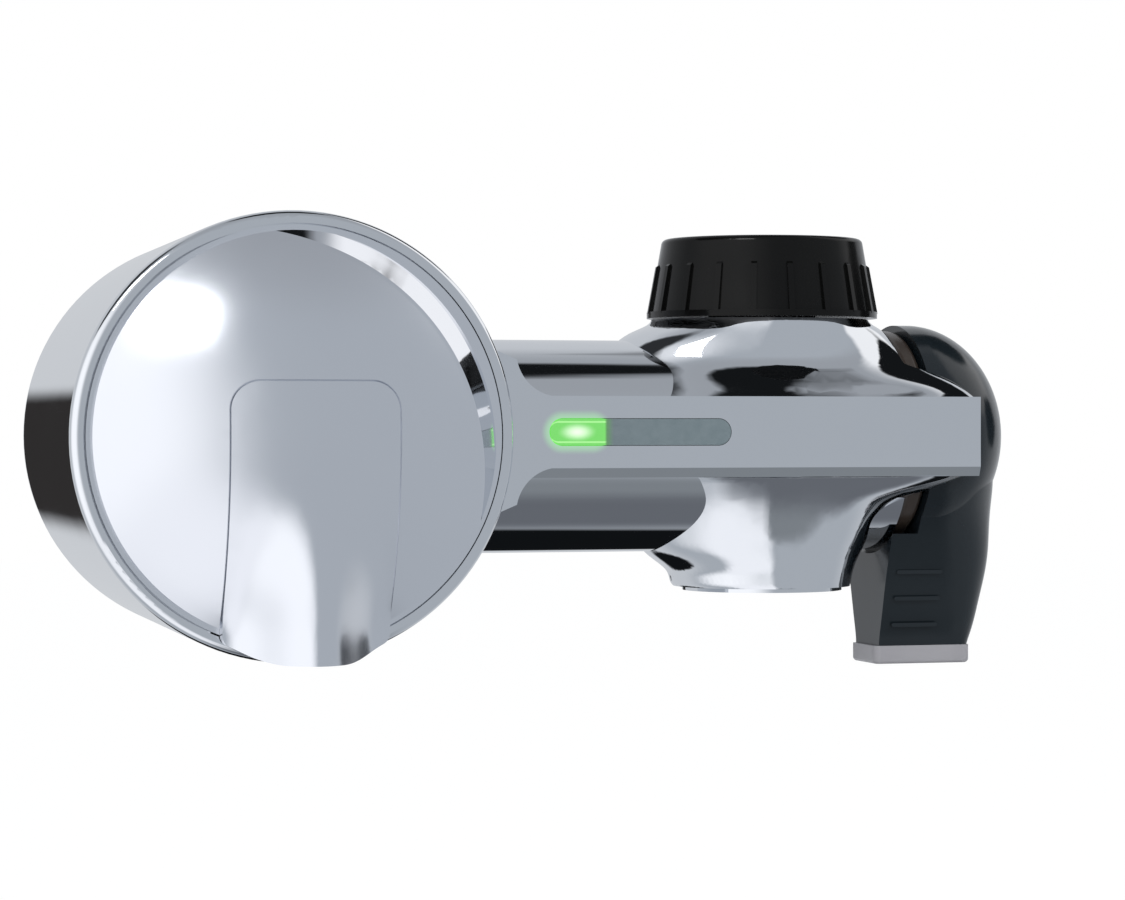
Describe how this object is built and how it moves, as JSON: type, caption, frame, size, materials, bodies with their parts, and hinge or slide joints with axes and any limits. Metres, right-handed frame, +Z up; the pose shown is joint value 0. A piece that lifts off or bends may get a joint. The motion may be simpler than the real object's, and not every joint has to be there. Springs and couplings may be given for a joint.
{
  "type": "faucet mount water filter",
  "caption": "Horizontal tap-mounted water filter: ribbed nut, arm with an indicator, valve lever and a drum with a domed twist cap and spout.",
  "frame": {"origin": "centre of the tap's seat, on the top of the inlet washer and on the nut's axis", "axes": "+Z up along the nut's axis towards the tap, +X along the arm away from the drum, +Y to the back"},
  "size_m": [0.1682, 0.0841, 0.0767],
  "materials": {
    "chrome": "polished chrome plate",
    "satin_chrome": "satin chrome plate",
    "black_plastic": "glossy black moulding",
    "collar_plastic": "dark brown-black moulding",
    "lever_gloss": "glossy blue-black moulding",
    "tip_plastic": "grey translucent moulding",
    "white_plastic": "natural white moulding",
    "blue_plastic": "blue moulding",
    "black_rubber": "soft rubber",
    "steel": "stainless steel",
    "lens": "smoked grey lens, lit green at its left end",
    "board": "green circuit board",
    "lamp": "clear lamp bodies",
    "carbon": "pressed carbon",
    "wrap_cloth": "non-woven filter cloth"
  },
  "bodies": {
    "nut": {"mounting_nut": "black_plastic"},
    "unit": {"inlet_stem": "white_plastic", "inlet_washer": "black_rubber", "inlet_screen": "steel", "body_shell": "chrome", "valve_body": "white_plastic", "drum_tube": "white_plastic", "axle_spider": "white_plastic", "turbine_axle": "steel", "valve_collar": "collar_plastic", "aerator_housing": "chrome", "aerator_insert": "white_plastic", "aerator_washer": "black_rubber", "indicator_lens": "lens", "circuit_board": "board", "indicator_lamps": "lamp", "coin_cell": "steel", "cell_tray": "white_plastic", "battery_cover": "chrome", "battery_screw": "steel", "drum_housing": "chrome", "drum_screws": "steel", "cartridge_shell": "white_plastic", "cartridge_lid": "blue_plastic", "spigot_seal": "black_rubber", "carbon_block": "carbon", "filter_core": "white_plastic", "pleated_wrap": "wrap_cloth"},
    "valve": {"valve_spool": "white_plastic", "spool_seals": "black_rubber", "lever": "lever_gloss", "lever_tip": "tip_plastic", "lever_screw": "steel", "screw_plug": "lever_gloss"},
    "cap": {"front_cap": "satin_chrome", "cap_seal": "black_rubber", "spout_panel": "satin_chrome"},
    "turbine": {"flow_turbine": "blue_plastic"}
  },
  "joints": [
    {"name": "unit_swivel", "type": "hinge", "parent": "nut", "child": "unit", "pos_m": [0, 0, 0], "axis": [0, 0, 1], "continuous": true},
    {"name": "lever_turn", "type": "hinge", "parent": "unit", "child": "valve", "pos_m": [0, 0, -0.0265], "axis": [1, 0, 0], "range_deg": [0, 90]},
    {"name": "cap_twist", "type": "hinge", "parent": "unit", "child": "cap", "pos_m": [-0.0893, 0, -0.0264], "axis": [0, -1, 0], "range_deg": [0, 32]},
    {"name": "turbine_spin", "type": "hinge", "parent": "unit", "child": "turbine", "pos_m": [-0.033, 0, -0.0282], "axis": [1, 0, 0], "continuous": true}
  ]
}
